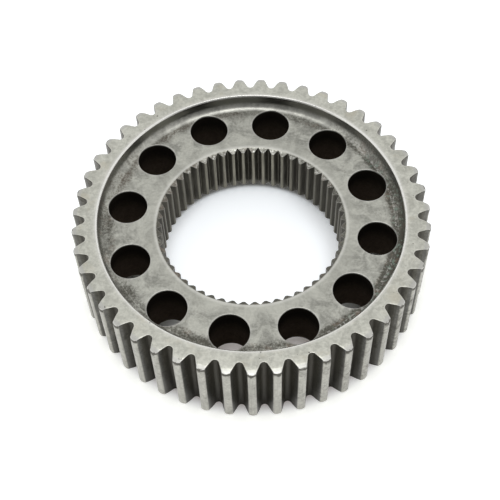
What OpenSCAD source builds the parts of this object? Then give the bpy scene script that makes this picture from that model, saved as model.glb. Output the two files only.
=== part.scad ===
// Sprocket for a wide inverted-tooth (silent) chain, made as one solid steel ring:
// chain teeth outside, a web with a row of through holes, and an internally
// splined bore. Both ends are recessed alike. The lower end face lies on z = 0
// and the axis of rotation is the Z axis. A tooth gap, a web hole and a tooth of
// the spline are all centred on the +X axis, so the part mirrors about that line.

/* [Chain teeth] */
// Number of teeth round the outside
tooth_count = 47; // [46:1:56]
// Pitch of the chain's links, measured along a chord of the pitch circle
link_pitch = 9.525; // [9.4:0.005:10]
// Height of the tooth tips above the pitch circle
tip_height = 0.25; // [0.05:0.05:0.6]
// Depth of the tooth gaps below the pitch circle
gap_depth = 4.9; // [4.4:0.1:5.4]
// Angle of a tooth flank to the middle line of its gap
flank_angle = 26; // [22:0.5:28]
// Radius of the full round at the bottom of a gap
gap_round_r = 1.5; // [1.2:0.05:1.65]
// Radius of the crown across a tooth's tip
crown_r = 3; // [2.6:0.1:5]
// How far the guide chamfer runs in from the tips at both end faces
guide_run = 2.3; // [0.5:0.1:3.5]
// How far the guide chamfer drops along the tooth
guide_drop = 0.75; // [0.2:0.05:2]

/* [Ring and web] */
// Width of the toothed ring, which is the whole width of the part
ring_width = 36; // [30:0.5:44]
// Wall of the ring between the tooth gaps and the recesses
rim_wall = 5.1; // [3.5:0.1:6.5]
// Thickness of the web between the two recesses
web_thickness = 23.5; // [16:0.5:28]
// Radius of the fillet where a recess wall runs into the web
recess_fillet_r = 3.4; // [1:0.1:4]
// Chamfer on the edge of a recess at the end face
rim_chamfer = 0.5; // [0.1:0.1:1.2]

/* [Web holes] */
// Number of through holes in the web
hole_count = 12; // [4:1:16]
// Diameter of the through holes
hole_d = 15.7; // [10:0.1:18]
// How far the holes' centres lie outside the middle of the web's face
hole_offset = 1.15; // [-2:0.05:1.8]
// Chamfer on both edges of a hole
hole_chamfer = 0.4; // [0.1:0.1:0.8]

/* [Splined bore] */
// Number of spline slots round the bore
spline_count = 55; // [40:1:60]
// Diameter across the tips of the spline teeth
spline_tip_d = 72.7; // [70:0.1:74]
// Depth of the spline slots below the tips
spline_depth = 1.85; // [1.4:0.05:2.2]
// Angle of a slot flank to the middle line of its slot
spline_flank_angle = 38; // [28:0.5:39]
// Radius at the bottom of a spline slot
spline_round_r = 0.3; // [0.2:0.05:0.45]
// Depth of the lead-in chamfer at the upper end of the bore
lead_in_depth = 1.2; // [0.4:0.1:2.5]
// How far outside the slot bottoms the lead-in chamfer starts
lead_in_margin = 0.2; // [0.05:0.05:1]
// Chamfer on the tips of the spline teeth at the lower end of the bore
lower_chamfer = 0.3; // [0.1:0.1:1]

/* [Hidden] */

// Facets on full rings, on the web holes, and on small rounds and fillets
$fn = 120;
HOLE_FN = 60;
SMALL_FN = 28;
// How far a cutting shape passes the surface that it cuts
CUT = 1;

pitch_r = link_pitch / (2 * sin(180 / tooth_count));
tip_r = pitch_r + tip_height;
gap_bottom_r = pitch_r - gap_depth;
recess_r = gap_bottom_r - rim_wall;
recess_depth = (ring_width - web_thickness) / 2;
spline_tip_r = spline_tip_d / 2;
spline_bottom_r = spline_tip_r + spline_depth;
lead_in_r = spline_bottom_r + lead_in_margin;
hole_circle_r = (lead_in_r + recess_r) / 2 + hole_offset;

// Places its children a number of times round the Z axis, the first of them
// turned away from +X by the given share of a step
module ring_of(count, start = 0) {
    for (i = [0 : count - 1])
        rotate((i + start) * 360 / count)
            children();
}

// A straight-sided notch with a full round at its bottom. The round's centre is
// at the origin, and the notch opens along +X for the given length, with each
// side at the given angle to X and tangent to the round.
module notch(round_r, side_angle, length) {
    touch = [-round_r * sin(side_angle), round_r * cos(side_angle)];
    mouth = [length, touch[1] + (length - touch[0]) * tan(side_angle)];
    circle(r = round_r, $fn = SMALL_FN);
    polygon([touch, mouth, [mouth[0], -mouth[1]], [touch[0], -touch[1]]]);
}

// Gap between two chain teeth, on the X axis
module tooth_gap() {
    translate([gap_bottom_r + gap_round_r, 0])
        notch(gap_round_r, flank_angle, gap_depth + tip_height + CUT - gap_round_r);
}

// Slot of the internal spline, on the X axis, open towards the bore
module spline_slot() {
    translate([spline_bottom_r - spline_round_r, 0])
        rotate(180)
            notch(spline_round_r, spline_flank_angle, spline_depth + CUT - spline_round_r);
}

// Outline of the toothed ring: a disc below the tips carries a crown for each
// tooth, and the gaps cut both down to the flanks
module toothed_outline() {
    difference() {
        union() {
            circle(r = tip_r - guide_drop);
            ring_of(tooth_count, 0.5)
                translate([tip_r - crown_r, 0])
                    circle(r = crown_r, $fn = SMALL_FN);
        }
        ring_of(tooth_count)
            tooth_gap();
    }
}

// Outline of the splined bore
module bore_outline() {
    circle(r = spline_tip_r);
    ring_of(spline_count, 0.5)
        spline_slot();
}

// Outline of the web holes
module holes_outline() {
    ring_of(hole_count)
        translate([hole_circle_r, 0])
            circle(r = hole_d / 2, $fn = HOLE_FN);
}

// Everything that is turned away at the upper end, as a section in radius and
// height: the guide chamfer on the tips, the recess with its fillet and
// chamfered edge, and a chamfer at the mouth of the bore, which runs out to
// mouth_r at the web's face
module end_section(mouth_r, mouth_depth) {
    web_top = ring_width - recess_depth;
    // Guide chamfer, carried on at its own slope past the tips
    polygon([
        [tip_r - guide_run, ring_width],
        [tip_r + CUT, ring_width - guide_drop * (guide_run + CUT) / guide_run],
        [tip_r + CUT, ring_width + CUT],
        [tip_r - guide_run, ring_width + CUT]
    ]);
    // Recess
    difference() {
        translate([0, web_top])
            square([recess_r, recess_depth + CUT]);
        translate([recess_r - recess_fillet_r, web_top])
            difference() {
                square(recess_fillet_r);
                translate([0, recess_fillet_r])
                    circle(r = recess_fillet_r, $fn = SMALL_FN);
            }
    }
    polygon([
        [recess_r, ring_width - rim_chamfer],
        [recess_r + rim_chamfer, ring_width],
        [recess_r + rim_chamfer, ring_width + CUT],
        [recess_r, ring_width + CUT]
    ]);
    // Mouth of the bore
    polygon([
        [0, web_top - mouth_depth],
        [spline_tip_r, web_top - mouth_depth],
        [mouth_r, web_top],
        [0, web_top]
    ]);
}

// What each end loses: the turned section and the chamfers of the holes
module end_cut(mouth_r, mouth_depth) {
    rotate_extrude()
        end_section(mouth_r, mouth_depth);
    ring_of(hole_count)
        translate([hole_circle_r, 0, ring_width - recess_depth - hole_chamfer])
            cylinder(
                r1 = hole_d / 2,
                r2 = hole_d / 2 + hole_chamfer,
                h = hole_chamfer,
                $fn = HOLE_FN
            );
}

module sprocket() {
    color([0.66, 0.65, 0.62])
        difference() {
            linear_extrude(ring_width)
                difference() {
                    toothed_outline();
                    bore_outline();
                    holes_outline();
                }
            end_cut(lead_in_r, lead_in_depth);
            translate([0, 0, ring_width])
                mirror([0, 0, 1])
                    end_cut(spline_tip_r + lower_chamfer, lower_chamfer);
        }
}

sprocket();
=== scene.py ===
import math
from functools import partialmethod

import bmesh
import bpy
import numpy as np
from bpy.props import FloatProperty, FloatVectorProperty, IntProperty, PointerProperty
from mathutils import Matrix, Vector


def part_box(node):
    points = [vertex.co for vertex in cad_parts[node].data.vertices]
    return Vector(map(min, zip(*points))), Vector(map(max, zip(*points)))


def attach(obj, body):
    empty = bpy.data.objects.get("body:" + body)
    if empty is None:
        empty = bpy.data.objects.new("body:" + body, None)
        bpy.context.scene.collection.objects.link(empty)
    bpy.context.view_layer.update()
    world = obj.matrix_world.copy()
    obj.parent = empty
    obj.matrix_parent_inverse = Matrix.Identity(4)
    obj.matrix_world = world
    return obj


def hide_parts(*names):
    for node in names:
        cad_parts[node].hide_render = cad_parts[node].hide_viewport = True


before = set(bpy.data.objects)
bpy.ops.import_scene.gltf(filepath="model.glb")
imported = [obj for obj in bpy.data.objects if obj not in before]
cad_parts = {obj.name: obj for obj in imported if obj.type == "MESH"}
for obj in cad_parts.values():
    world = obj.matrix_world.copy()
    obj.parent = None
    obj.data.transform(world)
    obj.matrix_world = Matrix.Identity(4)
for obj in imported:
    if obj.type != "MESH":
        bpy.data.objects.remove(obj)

bl_info = {
    "name": "Silent chain sprocket",
    "version": (1, 0, 0),
    "blender": (4, 5, 0),
    "location": "View3D > Sidebar > Sprocket",
    "description": "Builds a worn steel chain sprocket with a splined bore, on a pale stage",
    "category": "Object",
}

MM = 0.001
RING_NODE = "sprocket"
RING_BODY = "root"
RING_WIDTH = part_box(RING_NODE)[1].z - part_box(RING_NODE)[0].z
MID_Z = (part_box(RING_NODE)[1].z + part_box(RING_NODE)[0].z) / 2

# Zones of the surface, in the order of the piece's material slots
FACE, TOOTH, WEB, HOLE, BORE = range(5)

# The surface's rings of points: three radii on the end face, the last two joined by a seam, and
# how far outside the holes' edges and the lead-in the web's rings lie
MID_FACE_R = 67.2 * MM
TOOTH_GRID_R = 65.2 * MM
RIM_GRID_R = 64.4 * MM
SECTOR_MARGIN = 0.35 * MM
BORE_GRID_MARGIN = 0.8 * MM
WEB_GRID_MARGIN = 1.4 * MM
SECTOR_INNER_MARGIN = 3 * MM
POINTS_PER_HOLE = 30
SIDE_POINTS = 9
SECTOR_SHARES = (0.05, 0.22, 0.45, 0.7, 0.87, 1.0)
FILLET_POINTS = 9
EDGE_STEPS = 3
WELD = 0.002 * MM

# Half the floor's side and its gap to the ring, and where the camera's view starts, in metres
GROUND_HALF = 3.0
GROUND_GAP = 0.05 * MM
CLIP_START = 0.01


def length(name, description, millimetres):
    """A property that holds a length, given in millimetres and kept in metres."""
    return FloatProperty(
        name=name, description=description, default=millimetres * MM, min=0.0, precision=5,
        subtype="DISTANCE", unit="LENGTH",
    )


def angle(name, description, degrees):
    """A property that holds an angle, given in degrees."""
    return FloatProperty(
        name=name, description=description, default=math.radians(degrees), subtype="ANGLE",
        unit="ROTATION",
    )


def colour(name, description, rgb):
    """A property that holds a scene-linear colour."""
    return FloatVectorProperty(
        name=name, description=description, default=rgb, size=3, min=0.0, max=1.0, subtype="COLOR"
    )


def factor(name, description, value, top=1.0):
    """A property that holds a plain share or strength."""
    return FloatProperty(name=name, description=description, default=value, min=0.0, max=top)


class ChainToothSizes(bpy.types.PropertyGroup):
    """Sizes of the chain teeth"""

    count: IntProperty(name="Teeth", description="Number of chain teeth", default=47, min=12)
    tip_r: length("Tip radius", "Radius of the tooth tips", 71.548)
    gap_bottom_r: length("Gap bottom radius", "Radius at the gaps' bottoms", 66.404)
    gap_round_r: length("Gap round", "Radius of the round at a gap's bottom", 1.5)
    crown_r: length("Crown", "Radius of the crown across a tip", 3.0)
    corner_r: length("Corner", "Rounding between a flank and its crown", 0.7)
    flank_angle: angle("Flank angle", "Angle of a flank to its gap's middle line", 26.0)
    guide_run: length("Guide run", "How far the guide chamfer runs in from the tips", 2.3)
    guide_drop: length("Guide drop", "How far the guide chamfer drops at the tips", 0.75)
    edge_r: length("Edge", "Rounding of the edges at both end faces", 0.3)


class RingSizes(bpy.types.PropertyGroup):
    """Sizes of the rim and the web"""

    recess_r: length("Recess radius", "Radius of the recess in both ends", 61.304)
    recess_depth: length("Recess depth", "Depth of the web below the end faces", 6.25)
    fillet_r: length("Fillet", "Radius of the fillet between recess wall and web", 3.4)
    rim_chamfer: length("Rim chamfer", "Chamfer on the edge of the recess", 0.5)
    rim_edge_r: length("Rim edge", "Rounding of the chamfer's two edges", 0.42)
    hole_count: IntProperty(name="Holes", description="Number of web holes", default=12, min=3)
    hole_r: length("Hole radius", "Radius of the web holes", 7.85)
    hole_circle_r: length("Hole circle", "Radius of the circle of holes", 51.002)
    hole_edge_r: length("Hole edge", "Rounding of the holes' edges", 0.3)


class SplineSizes(bpy.types.PropertyGroup):
    """Sizes of the splined bore"""

    count: IntProperty(name="Slots", description="Number of spline slots", default=55, min=12)
    tip_r: length("Tip radius", "Radius of the lands between the slots", 36.35)
    bottom_r: length("Bottom radius", "Radius of the slots' deepest points", 38.2)
    round_r: length("Slot round", "Radius of the round at a slot's bottom", 0.3)
    corner_r: length("Corner", "Rounding between a flank and its land", 0.18)
    flank_angle: angle("Flank angle", "Angle of a flank to its slot's middle line", 38.0)
    lead_in_r: length("Lead-in radius", "Radius at which the upper chamfer starts", 38.4)
    lead_in_depth: length("Lead-in depth", "Depth of the upper chamfer", 1.2)
    lower_chamfer: length("Lower chamfer", "Chamfer at the lower end of the bore", 0.3)
    edge_r: length("Edge", "Rounding of the edges at both ends", 0.07)


class SteelFinish(bpy.types.PropertyGroup):
    """Colours and gloss of the worn steel"""

    bright: colour("Bright steel", "Steel where it is rubbed clean", (0.76, 0.755, 0.72))
    plain: colour("Plain steel", "Lighter clouds of the end faces", (0.56, 0.56, 0.50))
    dull: colour("Dull steel", "Darker clouds of the end faces", (0.37, 0.37, 0.328))
    web: colour("Web steel", "Steel of the recess and the web", (0.43, 0.43, 0.385))
    stain: colour("Stain", "Warm patches left by dried oil", (0.47, 0.44, 0.355))
    # Also the colour of painted shade on the tooth flanks and in the spline's slots
    film: colour("Oil film", "Old oil on tooth flanks and in slots", (0.155, 0.15, 0.12))
    land: colour("Spline lands", "Steel between the spline's slots", (0.245, 0.24, 0.195))
    # Also the colour of painted shade in the gaps and slots, and of painted dark reflections at the
    # tips
    grime: colour("Grime", "Dried oil in the corners", (0.062, 0.058, 0.044))
    varnish: colour("Brown tint", "Brownish film of baked oil", (0.13, 0.10, 0.075))
    verdigris: colour("Green tint", "Greenish residue in the fillet", (0.20, 0.27, 0.22))
    # Also painted shade: inside the holes and low on the tooth flanks
    soot_and_shade: colour("Soot", "Dark film inside the holes", (0.006, 0.005, 0.004))
    roughness: factor("Roughness", "Roughness of the end faces", 0.36)
    rubbed_roughness: factor("Rubbed roughness", "Roughness of the rubbed edges", 0.24)
    dirt_roughness: factor("Dirt roughness", "Roughness that dirt adds", 0.2)
    relief: length("Relief", "Height of the fine unevenness of the steel", 0.012)


class StageSettings(bpy.types.PropertyGroup):
    """Camera, lamps and ground"""

    camera_distance: length("Camera distance", "From the upper end face's centre", 432.61)
    camera_elevation: angle("Camera height", "Angle of the camera above the ground", 55.139)
    camera_azimuth: angle("Camera turn", "Turn of the camera about the axis, from -Y", 10.812)
    camera_yaw: angle("Yaw", "Sideways turn away from the centre", -0.106)
    camera_pitch: angle("Pitch", "Upward turn away from the centre", 1.926)
    camera_roll: angle("Roll", "Turn of the picture", 1.789)
    focal_length: FloatProperty(
        name="Focal length", description="On a sensor 36 mm wide", default=78.15, min=1.0
    )
    ground: colour("Ground", "Colour of the floor", (0.86, 0.86, 0.86))
    ground_glow: colour("Ground glow", "Light that the open floor gives off", (0.52, 0.55, 0.575))
    ground_close: colour("Close ground glow", "The same, close round the ring", (0.47, 0.475, 0.445))
    ground_shaded: colour("Shaded ground glow", "The same, under the near side", (0.15, 0.13, 0.12))
    ground_mirrored: colour("Ground in mirrors", "The same, seen in the steel", (0.53, 0.52, 0.52))
    sky: factor("Sky", "Brightness of the studio all round", 1.0, 4.0)
    sky_dark: factor("Dark side", "Brightness behind the camera, as a share of the sky", 0.3)
    sky_dark_height: angle("Dark side's height", "Angle of its middle above the ground", 15.0)
    sky_dark_core: angle("Dark side's core", "Angle from its middle at which it is still full", 38.0)
    sky_dark_edge: angle("Dark side's edge", "Angle from its middle at which it is gone", 62.0)
    overhead_size: length("Overhead size", "Side of the square lamp above the ring", 450.0)
    overhead_height: length("Overhead height", "Height of the lamp above the ground", 1000.0)
    overhead_shift: length("Overhead shift", "How far the lamp hangs towards the camera", 150.0)
    overhead_glow: factor("Overhead glow", "Brightness of the lamp over that of the sky", 2.4, 10.0)


class SprocketSettings(bpy.types.PropertyGroup):
    """All settings of the sprocket and its stage"""

    teeth: PointerProperty(type=ChainToothSizes)
    ring: PointerProperty(type=RingSizes)
    spline: PointerProperty(type=SplineSizes)
    steel: PointerProperty(type=SteelFinish)
    stage: PointerProperty(type=StageSettings)


# Outlines


def arc(centre, radius, start, stop, steps):
    """Points and outward directions on a circle: centre plus radius times (cos, sin) of evenly
    spaced angles from start to stop, both included."""
    turn = np.linspace(start, stop, steps + 1)
    ray = np.stack([np.cos(turn), np.sin(turn)], -1)
    return np.asarray(centre) + radius * ray, ray


def notch_half(count, bottom_r, round_r, flank, tip_centre_r, tip_radius, corner_r, opens, steps):
    """Half of one notch of a toothed outline, from the notch's middle at angle 0 to the middle
    of the next tooth, as points and normals that point out of the metal.

    In words: a round of round_r touches bottom_r on the X axis, a straight flank leaves it at the
    flank angle, a corner of corner_r touches both the flank and the tip's circle, and the tip's
    circle runs on to half a step. opens is 1 for teeth that point outwards and -1 for those that
    point at the axis. The corner's centre is the point on the flank, moved corner_r into the
    metal, that lies corner_r inside the tip's circle."""
    half_step = math.pi / count
    round_centre = np.array([bottom_r + opens * round_r, 0.0])
    touch_ray = np.array([-opens * math.sin(flank), math.cos(flank)])
    along = np.array([opens * math.cos(flank), math.sin(flank)])
    touch = round_centre + round_r * touch_ray
    middle = np.array([math.cos(half_step), math.sin(half_step)])
    tip_centre = tip_centre_r * middle
    # Where the moved flank crosses the circle on which the corner's centre lies
    reach = tip_radius - opens * corner_r
    start = touch + corner_r * touch_ray - tip_centre
    half_b = start @ along
    root = math.sqrt(half_b ** 2 - start @ start + reach ** 2)
    corner_centre = touch + corner_r * touch_ray + (-half_b + opens * root) * along
    tip_ray = opens * (corner_centre - tip_centre) / reach

    def heading(ray, near=0.0):
        """A ray's angle, as the one of its values that is nearest to another angle."""
        turn = math.atan2(ray[1], ray[0])
        return near + (turn - near + math.pi) % (2 * math.pi) - math.pi

    bottom = math.pi if opens > 0 else 0.0
    points, rays = arc(round_centre, round_r, bottom, heading(touch_ray), steps[0])
    parts = [(points, -rays)]
    share = np.linspace(0, 1, steps[1] + 1)[1:-1, None]
    corner_start = corner_centre - corner_r * touch_ray
    flank_points = touch + share * (corner_start - touch)
    parts.append((flank_points, np.broadcast_to(-touch_ray, flank_points.shape)))
    first = heading(-touch_ray)
    parts.append(arc(corner_centre, corner_r, first, heading(tip_ray, first), steps[2]))
    first = heading(corner_centre + corner_r * tip_ray - tip_centre)
    points, rays = arc(tip_centre, tip_radius, first, heading(middle, first), steps[3])
    parts.append((points[1:], opens * rays[1:]))
    return tuple(np.concatenate(part) for part in zip(*parts))


def toothed_outline(count, *notch, starts_at_tip=False):
    """A closed toothed outline with its normals: half a notch, its mirror image in the X axis,
    and both turned round the axis count times. Its first point lies on the X axis, at a notch's
    bottom, or at a tip's middle if starts_at_tip is true."""
    points, normals = notch_half(count, *notch)
    flip = np.array([1.0, -1.0])
    half = len(points)
    points = np.concatenate([points, (points * flip)[-2:0:-1]])
    normals = np.concatenate([normals, (normals * flip)[-2:0:-1]])
    # The mirrored half belongs before the next notch, so it is turned on by one step
    step = 2 * math.pi / count
    turn = np.arange(count)[:, None] * step + np.where(np.arange(len(points)) < half, 0, step)
    start = half - 1 if starts_at_tip else 0
    turn = turn - step / 2 * bool(start)
    cos, sin = np.cos(turn), np.sin(turn)

    def turned(v):
        x, y = v[:, 0], v[:, 1]
        around = np.stack([x * cos - y * sin, x * sin + y * cos], -1).reshape(-1, 2)
        return np.roll(around, -start, axis=0)

    return turned(points), turned(normals)


def rounded_profile(corners, radius, steps):
    """A path of straight runs whose corners are arcs of one radius. Each arc touches both runs:
    it starts and ends radius times the tangent of half the turn away from the corner."""
    path = [np.asarray(corners[0], float)[None]]
    for before, corner, after in zip(corners, corners[1:], corners[2:]):
        before, corner, after = (np.asarray(p, float) for p in (before, corner, after))
        inward = (before - corner) / np.linalg.norm(before - corner)
        onward = (after - corner) / np.linalg.norm(after - corner)
        half_open = math.acos(np.clip(inward @ onward, -1, 1)) / 2
        bisector = (inward + onward) / np.linalg.norm(inward + onward)
        centre = corner + bisector * radius / math.sin(half_open)
        first = corner + inward * radius / math.tan(half_open) - centre
        last = corner + onward * radius / math.tan(half_open) - centre
        share = np.linspace(0, 1, steps + 1)[:, None]
        swing = math.pi - 2 * half_open
        ray = (np.sin((1 - share) * swing) * first + np.sin(share * swing) * last) / math.sin(swing)
        path.append(centre + ray)
    path.append(np.asarray(corners[-1], float)[None])
    return np.concatenate(path)


# Surface assembly


class Surface:
    """Rings of points and the faces between them, for one closed mesh."""

    def __init__(self):
        self.points, self.edges, self.faces = [], [], []
        self.count = 0

    def ring(self, xy, z, edge=0.0):
        """Adds a closed ring of points at height z above the middle plane. edge is 1 on a
        rubbed edge and 0 away from it."""
        ids = np.arange(len(xy)) + self.count
        self.points.append(np.column_stack([xy, np.broadcast_to(z, len(xy))]))
        self.edges.append(np.full(len(xy), float(edge)))
        self.count += len(xy)
        return ids

    def bands(self, rings, zone):
        """Four-sided faces between each ring of a list and the next, all of as many points."""
        for a, b in zip(rings, rings[1:]):
            self.faces.append((np.stack([a, np.roll(a, -1), np.roll(b, -1), b], -1), zone))

    def seam(self, a, b, zone):
        """Triangles between two rings of different counts that both start at angle 0: each side
        of one ring is joined to the point of the other that faces the side's middle."""
        everything = np.concatenate(self.points)

        def middles(ids):
            turn = np.unwrap(np.arctan2(everything[ids, 1], everything[ids, 0]))
            return (turn + np.append(turn[1:], turn[0] + 2 * math.pi)) / 2

        mid_a, mid_b = middles(a), middles(b)
        facing_b = b[np.searchsorted(mid_b, mid_a) % len(b)]
        facing_a = a[np.searchsorted(mid_a, mid_b, side="right") % len(a)]
        self.faces.append((np.stack([a, np.roll(a, -1), facing_b], -1), zone))
        self.faces.append((np.stack([np.roll(b, -1), b, facing_a], -1), zone))

    def take_in(self, other):
        """Adds everything of another surface, mirrored in the middle plane."""
        self.faces += [(ids + self.count, zone) for ids, zone in other.faces]
        self.points += [points * (1, 1, -1) for points in other.points]
        self.edges += other.edges
        self.count += other.count

    def mesh(self, name, weld):
        """One mesh with its points welded, its faces turned outwards and the edge values as a
        point attribute."""
        made = bpy.data.meshes.new(name)
        faces = [face for group, _ in self.faces for face in group.tolist()]
        made.from_pydata(np.concatenate(self.points).tolist(), [], faces)
        edge = made.attributes.new("edge", "FLOAT", "POINT")
        edge.data.foreach_set("value", np.concatenate(self.edges).astype(np.float32))
        zones = np.concatenate([np.full(len(group), zone) for group, zone in self.faces])
        made.polygons.foreach_set("material_index", zones.astype(np.int32))
        work = bmesh.new()
        work.from_mesh(made)
        bmesh.ops.remove_doubles(work, verts=work.verts, dist=weld)
        bmesh.ops.recalc_face_normals(work, faces=work.faces)
        work.to_mesh(made)
        work.free()
        made.polygons.foreach_set("use_smooth", np.ones(len(made.polygons), bool))
        return made


def circle(radius, count):
    """Points on a circle about the axis, the first on the X axis."""
    return arc((0, 0), radius, 0, 2 * math.pi, count)[0][:-1]


def edge_steps(radius, steps):
    """Distances in from an edge and drops below the face, for a quarter round of the radius: the
    distance is radius times one less sine, and the drop radius times one less cosine, of angles
    that fall from a right angle to nothing."""
    turn = np.linspace(math.pi / 2, 0, steps + 1)
    return radius * (1 - np.sin(turn)), radius * (1 - np.cos(turn))


def outline_end(surface, outline, normals, height, edge_r, edge_rings, stations, apart, zones):
    """The wall under a toothed outline, its rounded upper edge, and the face from there to a
    plain circle at the last of the stations, which are radii. height gives the face's height at a
    radius, and the wall and the edge follow it. Each ring on the face keeps every point's own
    angle and moves its radius on to the ring's station, or on by apart where it is past that.
    Returns the last ring."""
    wall_zone, face_zone = zones
    hold = 1.6 * edge_r
    top = height(np.linalg.norm(outline, axis=1))
    wall = [surface.ring(outline, 0.0), surface.ring(outline, top - 3 * edge_r)]
    wall.append(surface.ring(outline, top - hold, 0.25))
    rounds = []
    for into, drop in zip(*edge_steps(edge_r, edge_rings)):
        xy = outline - normals * into
        rounds.append(surface.ring(xy, height(np.linalg.norm(xy, axis=1)) - drop, 1.0))
    half = (edge_rings + 1) // 2
    surface.bands(wall + rounds[: half + 1], wall_zone)
    held = outline - normals * hold
    start = np.linalg.norm(held, axis=1)
    ray = held / start[:, None]
    rings = rounds[half:] + [surface.ring(held, height(start), 0.2)]
    way = np.sign(stations[-1] - start.mean())
    for index, station in enumerate(stations, 1):
        reach = way * np.maximum(way * start + index * apart, way * station)
        rings.append(surface.ring(ray * reach[:, None], height(reach)))
    surface.bands(rings, face_zone)
    return rings[-1]


def toothed_rim(surface, teeth, top, border_r):
    """Walls and guide chamfers of the chain teeth, with the end face as far in as border_r."""
    crease_r = teeth.tip_r - teeth.guide_run
    slope = teeth.guide_drop / teeth.guide_run
    crease = 0.2 * MM

    def end_height(r):
        """The end face, falling away along the guide chamfer outside the crease."""
        return top - slope * np.maximum(0, r - crease_r)

    outline, normals = toothed_outline(
        teeth.count, teeth.gap_bottom_r, teeth.gap_round_r, teeth.flank_angle,
        teeth.tip_r - teeth.crown_r, teeth.crown_r, teeth.corner_r, 1, (5, 3, 3, 3),
    )
    stations = (crease_r + crease, crease_r - crease, MID_FACE_R, border_r)
    apart = 0.1 * MM
    return outline_end(
        surface, outline, normals, end_height, teeth.edge_r, EDGE_STEPS, stations, apart, (TOOTH, FACE)
    )


def recess_wall(surface, ring, top, web, around, border_r, sector_r):
    """End face inside border_r, the rim's chamfer, the recess wall, and the fillet as far in as
    sector_r. Rings hold the surface flat beside each edge. Returns the first ring."""
    hold = 0.3 * MM
    near_edge = 0.3
    rim = rounded_profile(
        [
            (border_r, top),
            (ring.recess_r + ring.rim_chamfer, top),
            (ring.recess_r, top - ring.rim_chamfer),
            (ring.recess_r, web + ring.fillet_r),
        ],
        ring.rim_edge_r, EDGE_STEPS,
    )[:-1]
    rings = [surface.ring(circle(r, around), z, float(r < border_r)) for r, z in rim]
    rings.insert(1, surface.ring(circle(rim[1][0] + hold, around), top, near_edge))
    surface.bands(rings, FACE)
    wall = rings[-1:]
    wall.append(surface.ring(circle(ring.recess_r, around), rim[-1][1] - hold, near_edge))
    wall.append(surface.ring(circle(ring.recess_r, around), web + ring.fillet_r + hold))
    fillet_start = ring.recess_r - ring.fillet_r
    lowest = math.asin((sector_r - fillet_start) / ring.fillet_r)
    for tilt in np.linspace(math.pi / 2, lowest, FILLET_POINTS):
        r = fillet_start + ring.fillet_r * math.sin(tilt)
        wall.append(surface.ring(circle(r, around), web + ring.fillet_r * (1 - math.cos(tilt))))
    surface.bands(wall, WEB)
    return rings[0]


def web_sectors(surface, ring, web_height, around, inner_r, outer_r):
    """The web's face between two circles, as one sector for each hole, and the holes' walls. The
    rings of a sector start on the hole's circle and move out to the sector's border, each by the
    same share of its own way."""
    half = math.pi / ring.hole_count
    _, ray = arc((0, 0), 1, -half, half, around // ring.hole_count)
    side = np.linspace(outer_r, inner_r, SIDE_POINTS + 2)[1:-1, None]
    border = np.concatenate([outer_r * ray, side * ray[-1], inner_r * ray[::-1], side[::-1] * ray[0]])
    centre = np.array([ring.hole_circle_r, 0.0])
    room = np.linalg.norm(border - centre, axis=1)
    out = (border - centre) / room[:, None]
    edge_end = ring.hole_r + ring.hole_edge_r
    # Each ring: its distance from the hole's axis, its drop below the web, and its edge value
    rings = [(ring.hole_r, 2.5 * ring.hole_edge_r, 0.0)]
    for into, drop in zip(*edge_steps(ring.hole_edge_r, EDGE_STEPS)):
        rings.append((ring.hole_r + into, drop, 1.0))
    for share in SECTOR_SHARES:
        near_edge = 0.3 if share == SECTOR_SHARES[0] else 0.0
        rings.append((edge_end + share * (room - edge_end), 0.0, near_edge))
    # The wall's zone gives way to the web's half-way round the edge
    halfway = 2 + EDGE_STEPS // 2
    for k in range(ring.hole_count):
        turn = 2 * half * k
        spin = np.array([[math.cos(turn), math.sin(turn)], [-math.sin(turn), math.cos(turn)]])
        hole = [surface.ring((centre + out * ring.hole_r) @ spin, 0.0)]
        for reach, drop, edge in rings:
            xy = centre + out * np.reshape(reach, (-1, 1))
            z = web_height(np.linalg.norm(xy, axis=1)) - drop
            hole.append(surface.ring(xy @ spin, z, edge))
        surface.bands(hole[: halfway + 1], HOLE)
        surface.bands(hole[halfway:], WEB)


def splined_bore(surface, spline, web_height, mouth_r, border_r):
    """Walls of the spline and the chamfer at its mouth, with the web's face as far out as
    border_r."""
    outline, normals = toothed_outline(
        spline.count, spline.bottom_r, spline.round_r, spline.flank_angle,
        0.0, spline.tip_r, spline.corner_r, -1, (3, 2, 2, 2), starts_at_tip=True,
    )
    crease = 0.1 * MM
    stations = (mouth_r - crease, mouth_r + crease, border_r)
    apart = 0.04 * MM
    return outline_end(
        surface, outline, normals, web_height, spline.edge_r, 2, stations, apart, (BORE, WEB)
    )


def ring_end(sizes, mouth_r, mouth_depth):
    """The ring's surface from the middle plane to one end. The bore's chamfer there starts at
    mouth_r on the web's face and is as deep as given at the spline's tips."""
    teeth, ring, spline = sizes.teeth, sizes.ring, sizes.spline
    surface = Surface()
    top = RING_WIDTH / 2
    web = top - ring.recess_depth
    around = ring.hole_count * POINTS_PER_HOLE
    sector_r = ring.hole_circle_r + ring.hole_r + ring.hole_edge_r + SECTOR_MARGIN
    web_inner_r = spline.lead_in_r + SECTOR_INNER_MARGIN
    fillet_start = ring.recess_r - ring.fillet_r
    mouth_slope = mouth_depth / (mouth_r - spline.tip_r)

    def web_height(r):
        """The web's face, rising along the fillet towards the recess wall and falling along
        the chamfer towards the bore."""
        run = np.clip(r - fillet_start, 0, ring.fillet_r)
        rise = ring.fillet_r - np.sqrt(ring.fillet_r ** 2 - run ** 2)
        return web + rise - mouth_slope * np.maximum(0, mouth_r - r)

    tooth_border = toothed_rim(surface, teeth, top, TOOTH_GRID_R)
    rim_border = recess_wall(surface, ring, top, web, around, RIM_GRID_R, sector_r)
    surface.seam(tooth_border, rim_border, FACE)
    web_sectors(surface, ring, web_height, around, web_inner_r, sector_r)
    bore_grid_r = spline.lead_in_r + BORE_GRID_MARGIN
    bore_border = splined_bore(surface, spline, web_height, mouth_r, bore_grid_r)
    inner = surface.ring(circle(spline.lead_in_r + WEB_GRID_MARGIN, around), web)
    outer = surface.ring(circle(web_inner_r, around), web)
    surface.seam(bore_border, inner, WEB)
    surface.bands([inner, outer], WEB)
    return surface


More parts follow.
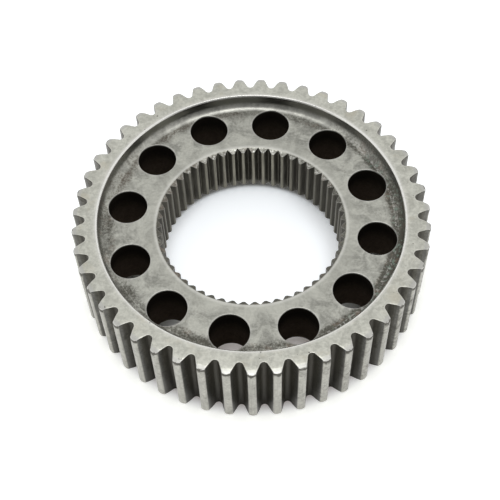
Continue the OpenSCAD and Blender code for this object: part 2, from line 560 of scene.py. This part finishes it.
def whole_ring(sizes):
    """The upper end, with a wide chamfer at the bore, and the lower end, with a small one."""
    spline = sizes.spline
    surface = ring_end(sizes, spline.lead_in_r, spline.lead_in_depth)
    lower_mouth_r = spline.tip_r + spline.lower_chamfer
    surface.take_in(ring_end(sizes, lower_mouth_r, spline.lower_chamfer))
    return surface


# Materials


class Wiring:
    """Short calls that add nodes to a tree and pass back an output. A plain value is set on its
    socket, and an output is linked to it."""

    def __init__(self, tree):
        self.tree = tree

    def add(self, kind, inputs=(), **settings):
        node = self.tree.nodes.new("ShaderNode" + kind)
        for name, value in settings.items():
            setattr(node, name, value)
        self.feed(node.inputs, inputs)
        return node

    def feed(self, sockets, values):
        for name, value in dict(values).items():
            if isinstance(value, bpy.types.NodeSocket):
                self.tree.links.new(value, sockets[name])
            else:
                sockets[name].default_value = value

    def group(self, tree, inputs):
        return self.add("Group", inputs, node_tree=tree).outputs

    def math(self, operation, *values):
        """The operation on the first two values, then on the result and the next, and so on."""
        result = self.add("Math", enumerate(values[:2]), operation=operation).outputs[0]
        return self.math(operation, result, *values[2:]) if values[2:] else result

    # Here math is the method above, and not the module
    times = partialmethod(math, "MULTIPLY")
    plus = partialmethod(math, "ADD")
    minus = partialmethod(math, "SUBTRACT")
    largest = partialmethod(math, "MAXIMUM")

    def smooth(self, value, low, high):
        """0 where the value is at low, 1 where it is at high, with an S-shaped change between."""
        limits = {"Value": value, "From Min": low, "From Max": high}
        return self.add("MapRange", limits, interpolation_type="SMOOTHSTEP").outputs[0]

    def mix(self, share, first, second):
        """The first colour where the share is 0 and the second where it is 1."""
        a, b = (c if isinstance(c, bpy.types.NodeSocket) else (*c, 1) for c in (first, second))
        return self.add("Mix", {0: share, 6: a, 7: b}, data_type="RGBA").outputs[2]

    def blend(self, share, first, second):
        """The first value where the share is 0 and the second where it is 1."""
        return self.add("Mix", {0: share, 2: first, 3: second}, data_type="FLOAT").outputs[0]

    def in_millimetres(self, place):
        return self.add("VectorMath", {0: place, "Scale": 1 / MM}, operation="SCALE").outputs[0]

    def reach(self, vector, direction):
        """How far a vector goes in a direction."""
        both = {0: vector, 1: tuple(direction)}
        return self.add("VectorMath", both, operation="DOT_PRODUCT").outputs["Value"]

    def noise(self, vector, lump, detail=2.0, roughness=0.5, distortion=0.0):
        """Noise whose lumps are about as wide as given, in the vector's own unit."""
        scale = self.math("DIVIDE", 1.0, lump) if isinstance(lump, bpy.types.NodeSocket) else 1 / lump
        inputs = {"Vector": vector, "Scale": scale, "Detail": detail}
        inputs.update({"Roughness": roughness, "Distortion": distortion})
        return self.add("TexNoise", inputs).outputs[0]


def new_group(name, inputs):
    """A shader node group that has only inputs, with their names and defaults. Returns its wiring
    and the outputs of its start."""
    tree = bpy.data.node_groups.new(name, "ShaderNodeTree")
    for label, value in inputs.items():
        kind = "NodeSocketVector" if isinstance(value, tuple) else "NodeSocketFloat"
        tree.interface.new_socket(label, in_out="INPUT", socket_type=kind).default_value = value
    return Wiring(tree), tree.nodes.new("NodeGroupInput").outputs


def finished_group(w, outputs):
    """The group of a wiring, with an output for each named value."""
    for label, value in outputs.items():
        w.tree.interface.new_socket(label, in_out="OUTPUT", socket_type=value.bl_idname)
    w.feed(w.tree.nodes.new("NodeGroupOutput").inputs, outputs)
    return w.tree


def place_group():
    """Where a point lies, in millimetres: its place, the place squeezed along the axis, for
    streaks that run that way, its distances from the axis, from the middle plane and from the
    ground, its places to the right and to the far side, and a mask of the far right quarter."""
    w, start = new_group("Place on the ring", {"Object": (0.0, 0.0, 0.0)})
    squeezed = (1, 1, 0.07)
    place = w.in_millimetres(start["Object"])
    drawn = w.add("VectorMath", {0: place, 1: squeezed}, operation="MULTIPLY").outputs[0]
    x, y, z = w.add("SeparateXYZ", {0: place}).outputs
    return finished_group(w, {
        "Place": place, "Drawn": drawn,
        "Radius": w.math("SQRT", w.plus(w.times(x, x), w.times(y, y))),
        "Height": w.math("ABSOLUTE", w.minus(z, MID_Z / MM)),
        "Level": z, "Right": x, "Far": y,
        "Far right": w.times(w.smooth(x, 2.0, 18.0), w.smooth(y, 6.0, 26.0)),
    })


def steel_group():
    """Steel seen from near: clouds of the given size with a finer mottle and faint scratches in
    them, sparse pits, and a relief."""
    inputs = {"Place": (0.0, 0.0, 0.0), "Cloud size": 6.0, "Mottle": 0.4, "Scratches": 0.3}
    w, start = new_group("Clouded steel", inputs)
    place = start["Place"]
    cloud = w.noise(place, start["Cloud size"], detail=4.0, roughness=0.65, distortion=0.8)
    mottle = w.noise(place, 1.1, detail=3.0, roughness=0.65)
    mottled = w.blend(start["Mottle"], w.smooth(cloud, 0.36, 0.64), w.smooth(mottle, 0.36, 0.64))
    drawn = w.add("Mapping", {"Vector": place, "Rotation": (0, 0, 0.6), "Scale": (0.06, 1, 1)})
    scratches = w.smooth(w.noise(drawn.outputs[0], 0.5, distortion=0.3), 0.58, 0.68)
    pits = w.smooth(w.noise(place, 1.3, detail=1.0), 0.74, 0.80)
    fine = w.noise(place, 0.35, roughness=0.6)
    coarse = w.times(w.noise(place, 1.6, detail=1.0), 2.5)
    return finished_group(w, {
        "Cloud": w.minus(mottled, w.times(scratches, start["Scratches"])),
        "Pits": pits,
        "Relief": w.minus(w.plus(fine, coarse), w.times(pits, 2.0)),
    })


def wear_group():
    """Rubbed edges: strong where the edge value is high, and uneven along the edge."""
    w, start = new_group("Rubbed edges", {"Place": (0.0, 0.0, 0.0), "Edge": 0.0, "Amount": 1.0})
    uneven = w.smooth(w.noise(start["Place"], 1.8, detail=3.0), 0.1, 0.45)
    return finished_group(w, {"Mask": w.times(start["Edge"], start["Amount"], uneven)})


def grime_group():
    """Dried oil that covers about as large a share of the surface as the amount says, in flecks
    and runs that differ from place to place."""
    w, start = new_group("Dried oil", {"Place": (0.0, 0.0, 0.0), "Amount": 0.0, "Lump size": 1.2})
    place, amount = start["Place"], start["Amount"]
    lumps = w.noise(place, start["Lump size"], detail=5.0, roughness=0.7, distortion=0.5)
    drift = w.noise(place, 9.0, detail=3.0)
    unevenness = w.plus(w.times(w.minus(lumps, 0.5), 2.4), w.times(w.minus(drift, 0.5), 1.3))
    cover = w.smooth(w.plus(amount, unevenness), 0.0, 1.0)
    return finished_group(w, {"Mask": w.times(cover, w.smooth(amount, 0.0, 0.12))})


class Painter(Wiring):
    """The wiring of a zone's material, with what its paint function works with: the sizes, the
    finish, the shared groups, and where the point lies, in millimetres."""

    def __init__(self, tree, groups, sizes):
        super().__init__(tree)
        self.groups, self.sizes, self.finish = groups, sizes, sizes.steel
        self.edge = self.add("Attribute", attribute_name="edge").outputs["Fac"]
        self.at = self.group(groups[place_group], {"Object": self.add("TexCoord").outputs["Object"]})
        self.place, self.radius, self.level = (self.at[n] for n in ("Place", "Radius", "Level"))
        self.right, self.far = self.at["Right"], self.at["Far"]

    def steel(self, cloud_size, mottle, scratches=0.0):
        inputs = {"Cloud size": cloud_size, "Mottle": mottle, "Scratches": scratches}
        return self.group(self.groups[steel_group], {"Place": self.place, **inputs})

    def wear(self, amount):
        inputs = {"Place": self.place, "Edge": self.edge, "Amount": amount}
        return self.group(self.groups[wear_group], inputs)["Mask"]

    def grime(self, amount, lump_size):
        inputs = {"Place": self.place, "Amount": amount, "Lump size": lump_size}
        return self.group(self.groups[grime_group], inputs)["Mask"]

    def out(self, low, high):
        """0 where the distance from the axis is at low, and 1 where it is at high."""
        return self.smooth(self.radius, low, high)

    def patches(self, size, low, high, detail=2.0, roughness=0.5):
        """Patches about as wide as the size: 0 where their noise is at low and 1 where at high."""
        return self.smooth(self.noise(self.place, size, detail, roughness), low, high)

    def streaks(self, width):
        """Streaks that run along the axis."""
        drawn = self.noise(self.at["Drawn"], width, detail=3.0, roughness=0.6)
        return self.smooth(drawn, 0.35, 0.65)


# Each paint function below returns the zone's colour, and how dirty, how rubbed and how high the
# surface is at a point. In some zones the dirt holds painted shade and dark reflections, and the
# rubbed share painted highlights and glints


def paint_face(p):
    """End faces and guide chamfers: clean satin steel with faint clouds, warm stains and pits,
    and with painted dark reflections at the tips, as small dark marks."""
    finish, sizes = p.finish, p.sizes
    tip = sizes.teeth.tip_r / MM
    crease = tip - sizes.teeth.guide_run / MM
    rim = (sizes.ring.recess_r + sizes.ring.rim_chamfer) / MM
    steel = p.steel(cloud_size=5.0, mottle=0.45, scratches=0.25)
    colour = p.mix(steel["Cloud"], finish.plain, finish.dull)
    stained = p.patches(9.0, 0.52, 0.7, detail=3.0, roughness=0.6)
    colour = p.mix(p.times(stained, 0.5), colour, finish.stain)
    chamfer = p.out(crease, crease + 0.6)
    colour = p.mix(p.times(chamfer, 0.7), colour, 0.56 * finish.bright)
    at_tips = p.times(p.out(tip - 1.6, tip - 0.6), 0.6)
    at_rim = p.out(rim + 1.7, rim + 0.7)
    rubbed = p.wear(p.largest(at_tips, at_rim, 0.2))
    colour = p.mix(rubbed, colour, finish.bright)
    # Painted dark reflections on the tips' edges, as small dark marks, more of them on the right
    more_on_right = p.times(p.smooth(p.right, 30.0, 60.0), 0.06)
    dark_reflections = p.smooth(p.plus(p.noise(p.place, 1.4, detail=1.0), more_on_right), 0.57, 0.62)
    dark_reflections = p.times(dark_reflections, p.out(tip - 0.9, tip - 0.4))
    dirt = p.times(p.largest(steel["Pits"], dark_reflections), 0.75)
    colour = p.mix(dirt, colour, finish.grime)
    shine = p.times(p.out(tip - 1.6, tip - 0.5), 0.65)
    return colour, dirt, p.largest(rubbed, shine), steel["Relief"]


def paint_teeth(p):
    """Tooth walls: lands nearly clean, flanks under a film of oil that runs in streaks along the
    teeth and under painted shade that grows towards the floor, gap bottoms dark with painted shade,
    and a painted dark reflection under the guide chamfer."""
    finish, teeth = p.finish, p.sizes.teeth
    tip, bottom = teeth.tip_r / MM, teeth.gap_bottom_r / MM
    steel = p.steel(cloud_size=4.0, mottle=0.5)
    streaks = p.streaks(1.1)
    cloud = p.largest(steel["Cloud"], p.times(streaks, 0.8))
    land = p.mix(cloud, 0.87 * finish.plain, 0.83 * finish.dull)
    # The flanks' darkness is oil film and painted shade
    outer = p.mix(cloud, 0.35 * finish.web, 0.16 * finish.web)
    flank = p.mix(streaks, 0.8 * finish.film, 0.45 * finish.film)
    colour = p.mix(p.out(tip - 0.4, tip - 1.0), land, outer)
    colour = p.mix(p.out(tip - 1.2, tip - 3.0), colour, flank)
    # Oil on the flanks, and painted shade: the flanks darken towards the floor and the gaps' bottoms
    # most
    flank_oil_and_shade = p.minus(p.out(tip - 0.6, tip - 2.6), p.times(streaks, 0.25))
    low = p.times(flank_oil_and_shade, p.smooth(p.level, 24.0, 4.0))
    depth = p.out(bottom + 2.8, bottom + 0.9)
    painted_shade = p.largest(p.times(depth, 0.9), p.times(low, 0.65))
    stains = p.plus(0.06, p.times(p.smooth(p.right, 15.0, 60.0), 0.16))
    dirt = p.largest(painted_shade, p.grime(p.largest(p.times(flank_oil_and_shade, 0.4), stains), lump_size=1.6))
    # Dirt and painted shade take the grime's colour, nearly black towards the floor
    colour = p.mix(dirt, colour, p.mix(p.times(low, 0.6), finish.grime, finish.soot_and_shade))
    rubbed = p.wear(p.out(tip - 1.0, tip - 0.4))
    colour = p.mix(p.times(rubbed, 0.25), colour, finish.bright)
    # A ragged dark line under the guide chamfer: a painted dark reflection of the edge's rounding
    crest = (RING_WIDTH - teeth.guide_drop) / MM
    ragged = p.plus(p.minus(p.level, crest), p.times(p.noise(p.place, 1.6), 4.0))
    line = p.times(p.smooth(ragged, 0.1, 1.1), p.out(tip - 0.8, tip - 0.5), 0.85)
    return p.mix(line, colour, finish.grime), p.largest(dirt, line), rubbed, steel["Relief"]


def paint_web(p):
    """Recess wall, fillet and web: clouded steel, darker on the wall with painted shade, rubbed
    brighter round the bore, with a painted highlight on the fillet's far side and painted glints on
    the bore's chamfer, and with dried oil where the fillet meets the web."""
    finish, sizes = p.finish, p.sizes
    web = (RING_WIDTH / 2 - sizes.ring.recess_depth) / MM
    wall = sizes.ring.recess_r / MM
    foot = (sizes.ring.recess_r - sizes.ring.fillet_r) / MM
    mouth = sizes.spline.lead_in_r / MM
    right = p.smooth(p.right, 15.0, 45.0)
    steel = p.steel(cloud_size=7.0, mottle=0.3, scratches=0.2)
    outer = p.out(mouth + 2.0, mouth + 8.0)
    cloud = p.times(steel["Cloud"], p.plus(0.6, p.times(outer, 0.4)))
    colour = p.mix(cloud, 1.08 * finish.web, 0.53 * finish.web)
    above = p.minus(p.at["Height"], web)
    # Painted shade: the recess wall darker than the web
    colour = p.mix(p.smooth(above, 1.6, 3.2), colour, 0.72 * finish.web)
    dirt = web_dirt(p, right, wall, foot, mouth)
    colour = p.mix(p.times(dirt, 0.92), colour, web_residue(p))
    rubbed = web_rubbed_and_highlights(p, right, foot, mouth)
    return p.mix(rubbed, colour, finish.bright), dirt, rubbed, steel["Relief"]


def web_dirt(p, right, wall, foot, mouth):
    """Dried oil: a band where the fillet meets the web, narrower and thicker on the right, the
    fillet itself on the near and right sides, and the bore's chamfer."""
    near = p.smooth(p.far, wall, -wall)
    into_band = p.times(p.minus(p.radius, foot - 0.7), p.plus(1.0, p.times(right, 0.7)))
    band = p.times(p.smooth(into_band, -3.8, 0.0), p.out(foot + 1.0, foot - 0.3))
    on_band = p.plus(0.48, p.times(near, 0.2), p.times(right, 0.28))
    fillet = p.out(foot - 0.2, foot + 0.6)
    on_fillet = p.plus(p.times(near, 0.72), p.times(right, 0.6))
    cone = p.out(mouth, mouth - 0.4)
    on_cone = p.smooth(p.far, 2.2 * mouth, -0.3 * mouth)
    on_cone = p.largest(on_cone, p.times(p.at["Far right"], 0.8))
    amount = p.largest(p.times(band, on_band), p.times(fillet, on_fillet), p.times(cone, on_cone, 0.95))
    return p.grime(amount, lump_size=0.9)


def web_residue(p):
    """Dried oil's colour: black with brown patches, browner on the far left, and with green
    patches on the right."""
    finish = p.finish
    far_left = p.times(p.smooth(p.right, -5.0, -30.0), p.smooth(p.far, -15.0, 15.0), 0.6)
    brown = p.largest(p.patches(4.0, 0.52, 0.68), far_left)
    green = p.times(p.patches(1.6, 0.55, 0.64), p.smooth(p.right, 30.0, 50.0), 0.6)
    return p.mix(green, p.mix(brown, finish.grime, finish.varnish), finish.verdigris)


def web_rubbed_and_highlights(p, right, foot, mouth):
    """Bright metal: rubbed edges, a ring round the bore, a painted highlight on the fillet's far
    side, painted glints as flecks on the far side of the bore's chamfer, and crumbs on the right
    along the fillet's foot."""
    ring = p.out(mouth - 0.1, mouth + 0.3)
    ring = p.times(ring, p.out(mouth + 1.6, mouth + 0.2), 0.4)
    # Painted highlight on the fillet's far side
    back = p.times(p.out(foot, foot + 1.0), p.smooth(p.far, 20.0, 50.0), 0.12)
    # Painted glints: bright flecks on the far side of the bore's chamfer
    flecks = p.times(p.patches(0.8, 0.52, 0.62), p.out(mouth - 0.2, mouth - 0.8))
    flecks = p.times(flecks, p.smooth(p.far, 5.0, 30.0), 0.5)
    crumbs = p.times(p.patches(1.3, 0.5, 0.6), p.out(foot - 0.3, foot + 0.3))
    crumbs = p.times(crumbs, p.out(foot + 1.5, foot + 0.9), right, 0.3)
    return p.largest(p.wear(0.25), ring, back, flecks, crumbs)


def paint_holes(p):
    """Hole walls: dark film and painted shade, black above, brownish below, worn off at the very edge.
    """
    finish = p.finish
    steel = p.steel(cloud_size=3.0, mottle=0.5)
    # Painted shade inside the holes with a dark film: near black above, lighter and browner below
    below = p.smooth(p.level, 26.0, 14.0)
    film = p.mix(below, 2.6 * finish.soot_and_shade, 0.9 * finish.varnish)
    film = p.mix(p.times(steel["Cloud"], 0.3), film, 0.2 * finish.soot_and_shade)
    rubbed = p.wear(0.5)
    return p.mix(rubbed, film, finish.web), p.minus(1.0, rubbed), rubbed, steel["Relief"]


def paint_bore(p):
    """Spline: dull lands between slots dark with oil and painted shade, darkest at their bottoms,
    with streaks along the axis, dirtier on the near and far right sides."""
    finish, spline = p.finish, p.sizes.spline
    tip, bottom = spline.tip_r / MM, spline.bottom_r / MM
    steel = p.steel(cloud_size=3.0, mottle=0.5)
    streaks = p.streaks(0.7)
    land = p.mix(streaks, 0.96 * finish.land, 0.6 * finish.land)
    # The slots' darkness is oil film and painted shade, most at their bottoms
    flank = p.mix(streaks, 0.6 * finish.film, 0.28 * finish.film)
    root = p.mix(streaks, 0.8 * finish.film, 0.45 * finish.film)
    slot = p.mix(p.out(bottom - 0.7, bottom - 0.2), flank, root)
    colour = p.mix(p.out(tip + 0.05, tip + 0.35), land, slot)
    near = p.times(p.smooth(p.far, tip, 0.5 * tip), 0.4)
    slot_oil_and_shade = p.times(p.out(bottom - 1.0, bottom - 0.2), 0.3)
    dirt = p.largest(slot_oil_and_shade, near, p.times(p.at["Far right"], 0.5))
    colour = p.mix(dirt, colour, 0.5 * finish.grime)
    rubbed = p.wear(0.4)
    return p.mix(rubbed, colour, finish.web), dirt, rubbed, steel["Relief"]


def zone_material(name, paint, dulling, gloss, groups, sizes):
    """The material of a zone. dulling is how much of the metal's mirror the dirt takes away, and
    gloss the dirt's own."""
    made = bpy.data.materials.new(name)
    made.use_nodes = True
    p = Painter(made.node_tree, groups, sizes)
    finish = p.finish
    colour, dirt, rubbed, relief = paint(p)
    smoother = p.times(rubbed, finish.roughness - finish.rubbed_roughness)
    rougher = p.times(dirt, finish.dirt_roughness)
    bump = p.add("Bump", {"Height": relief, "Distance": finish.relief, "Strength": 1.0})
    p.feed(made.node_tree.nodes["Principled BSDF"].inputs, {
        "Base Color": colour,
        "Metallic": p.minus(1.0, p.times(dirt, dulling)),
        "Roughness": p.plus(p.minus(finish.roughness, smoother), rougher),
        "Specular IOR Level": gloss,
        "Normal": bump.outputs[0],
    })
    return made


# Each zone's material name, paint function, dulling and gloss
ZONES = (
    ("end_face", paint_face, 0.5, 0.4),
    ("tooth_walls", paint_teeth, 0.6, 0.2),
    ("web", paint_web, 0.6, 0.3),
    ("hole_walls", paint_holes, 1.0, 0.0),
    ("spline", paint_bore, 0.5, 0.3),
)


# Stage


def put(scene, name, data):
    """A new object in the scene."""
    made = bpy.data.objects.new(name, data)
    scene.collection.objects.link(made)
    return made


def ray_at(turn, rise=0.0):
    """The direction at a turn about the axis, counted from -Y, and at a rise above level."""
    level = math.cos(rise)
    return np.array([math.sin(turn) * level, -math.cos(turn) * level, math.sin(rise)])


def add_camera(scene, stage):
    """Camera that looks at the upper end face's centre from its distance, height and turn, with
    a small yaw, pitch and roll of its own."""
    back = ray_at(stage.camera_azimuth, stage.camera_elevation)
    right = ray_at(stage.camera_azimuth + math.pi / 2)
    basis = np.array([right, np.cross(back, right), back])
    yaw = Matrix.Rotation(stage.camera_yaw, 3, "Y")
    pitch = Matrix.Rotation(stage.camera_pitch, 3, "X")
    roll = Matrix.Rotation(stage.camera_roll, 3, "Z")
    basis = np.array(roll @ pitch @ yaw) @ basis
    place = back * stage.camera_distance + [0, 0, RING_WIDTH]
    camera = bpy.data.cameras.new("camera")
    camera.lens = stage.focal_length
    camera.clip_start = CLIP_START
    holder = put(scene, "camera", camera)
    holder.matrix_world = Matrix.LocRotScale(place, Matrix(basis.T.tolist()).to_quaternion(), None)
    scene.camera = holder


def add_ground(scene, stage):
    """A wide floor just under the ring."""
    mesh = bpy.data.meshes.new("ground")
    corners = [(-1, -1, 0), (1, -1, 0), (1, 1, 0), (-1, 1, 0)]
    mesh.from_pydata(corners, [], [(0, 1, 2, 3)])
    mesh.transform(Matrix.Translation((0, 0, -GROUND_GAP)) @ Matrix.Scale(GROUND_HALF, 4))
    mesh.materials.append(ground_material(scene.sprocket, stage))
    floor = put(scene, "ground", mesh)


def ground_material(sizes, stage):
    """Pale floor. To the camera and to mirrored rays its open parts glow a little, so that they
    show white, and less so close round the ring, which paints a tinted shadow there. Under the
    ring only the near side glows faintly, a painted light, so that the shadow stays."""
    material = bpy.data.materials.new("ground")
    material.use_nodes = True
    material.node_tree.nodes.clear()
    w = Wiring(material.node_tree)
    path = w.add("LightPath").outputs
    mirrored = w.largest(path["Is Glossy Ray"], path["Is Transmission Ray"])
    place = w.in_millimetres(w.add("TexCoord").outputs["Object"])
    radius = w.add("VectorMath", {0: place}, operation="LENGTH").outputs["Value"]
    near = w.reach(place, ray_at(stage.camera_azimuth))
    across = w.reach(place, ray_at(stage.camera_azimuth + math.pi / 2))
    tip_r, bore_r = sizes.teeth.tip_r / MM, sizes.spline.bottom_r / MM
    outside = w.smooth(radius, tip_r - 6, tip_r + 1)
    open_floor = w.largest(bore_floor(w, bore_r, radius, near, across), outside)
    # Painted light under the ring's near side; close round the ring a dimmer, warmer glow paints the
    # shadow's tint
    shaded = w.mix(w.smooth(near, 30, 42), (0, 0, 0), stage.ground_shaded)
    close = w.times(outside, w.smooth(radius, tip_r + 6.5, tip_r + 1))
    glow = w.mix(close, stage.ground_glow, stage.ground_close)
    tint = w.mix(mirrored, w.mix(open_floor, shaded, glow), stage.ground_mirrored)
    strength = w.largest(path["Is Camera Ray"], w.times(mirrored, open_floor))
    diffuse = w.add("BsdfDiffuse", {"Color": (*stage.ground, 1)})
    emission = w.add("Emission", {"Color": tint, "Strength": strength})
    both = w.add("AddShader", {0: diffuse.outputs[0], 1: emission.outputs[0]})
    w.add("OutputMaterial", {"Surface": both.outputs[0]})
    return material


def bore_floor(w, bore_r, radius, near, across):
    """How open the floor in the bore is, which paints the wall's shadow where it glows less: a
    little less near the wall than in the middle, less again along the wall on the left and on the
    right, and closed at the near side. near and across are distances towards the camera and to its
    right, in millimetres like the others."""
    edge = w.times(w.smooth(radius, bore_r + 3.0, bore_r + 0.6), 0.92)
    middle = w.times(w.smooth(radius, bore_r - 0.7, bore_r - 7), 0.08)
    right = w.times(w.smooth(across, 10, 32), w.smooth(radius, bore_r - 11, bore_r))
    left = w.times(w.smooth(across, -15, -32), w.smooth(radius, bore_r - 5, bore_r))
    lit = w.minus(1.0, w.plus(w.times(right, 0.42), w.times(left, 0.25)))
    return w.times(w.plus(edge, middle), w.smooth(near, 30, 22), lit)


def add_sky(scene, stage):
    """An even pale studio that darkens in a round behind the camera. The camera itself sees
    white."""
    world = bpy.data.worlds.new("studio")
    scene.world = world
    world.use_nodes = True
    world.node_tree.nodes.clear()
    w = Wiring(world.node_tree)
    direction = w.add("TexCoord").outputs["Generated"]
    toward = w.reach(direction, ray_at(stage.camera_azimuth, stage.sky_dark_height))
    dark = w.smooth(toward, math.cos(stage.sky_dark_edge), math.cos(stage.sky_dark_core))
    level = w.minus(stage.sky, w.times(dark, stage.sky * (1 - stage.sky_dark)))
    shown = w.blend(w.add("LightPath").outputs["Is Camera Ray"], level, 1.0)
    background = w.add("Background", {"Color": (1, 1, 1, 1), "Strength": shown})
    w.add("OutputWorld", {"Surface": background.outputs[0]})


def add_overhead(scene, stage):
    """A square lamp above the ring. Its power is its glow times its area times pi."""
    lamp = bpy.data.lights.new("overhead", "AREA")
    lamp.shape = "SQUARE"
    lamp.size = stage.overhead_size
    lamp.energy = stage.overhead_glow * math.pi * stage.overhead_size ** 2
    above = np.array([0, 0, stage.overhead_height])
    shift = stage.overhead_shift * ray_at(stage.camera_azimuth)
    put(scene, "overhead", lamp).location = above + shift


# Operators


class SPROCKET_OT_ring(bpy.types.Operator):
    """Build the toothed ring with its web, holes and splined bore"""

    bl_idname = "sprocket.ring"
    bl_label = "Ring"

    def execute(self, context):
        sizes = context.scene.sprocket
        mesh = whole_ring(sizes).mesh("sprocket_ring", WELD)
        mesh.transform(Matrix.Translation((0, 0, MID_Z)))
        piece = put(context.scene, "sprocket_ring", mesh)
        groups = {make: make() for make in (place_group, steel_group, wear_group, grime_group)}
        for zone in ZONES:
            mesh.materials.append(zone_material(*zone, groups, sizes))
        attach(piece, RING_BODY)
        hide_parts(RING_NODE)
        return {"FINISHED"}


class SPROCKET_OT_stage(bpy.types.Operator):
    """Make the ground, the lamps and the camera"""

    bl_idname = "sprocket.stage"
    bl_label = "Stage"

    def execute(self, context):
        scene = context.scene
        scene.view_settings.view_transform = "Standard"
        for add in (add_camera, add_ground, add_sky, add_overhead):
            add(scene, scene.sprocket.stage)
        return {"FINISHED"}


class SPROCKET_PT_panel(bpy.types.Panel):
    """Sidebar panel that lists the builders"""

    bl_label = "Sprocket"
    bl_space_type = "VIEW_3D"
    bl_region_type = "UI"
    bl_category = "Sprocket"

    def draw(self, context):
        column = self.layout.column()
        for operator in OPERATORS:
            column.operator(operator.bl_idname)


OPERATORS = (SPROCKET_OT_ring, SPROCKET_OT_stage)
CLASSES = (
    ChainToothSizes, RingSizes, SplineSizes, SteelFinish, StageSettings, SprocketSettings,
    *OPERATORS, SPROCKET_PT_panel,
)


def register():
    for cls in CLASSES:
        bpy.utils.register_class(cls)
    bpy.types.Scene.sprocket = PointerProperty(type=SprocketSettings)


def unregister():
    del bpy.types.Scene.sprocket
    for cls in reversed(CLASSES):
        bpy.utils.unregister_class(cls)


def main():
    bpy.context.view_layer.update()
    register()
    bpy.ops.sprocket.ring()
    bpy.ops.sprocket.stage()


if __name__ == "__main__":
    main()
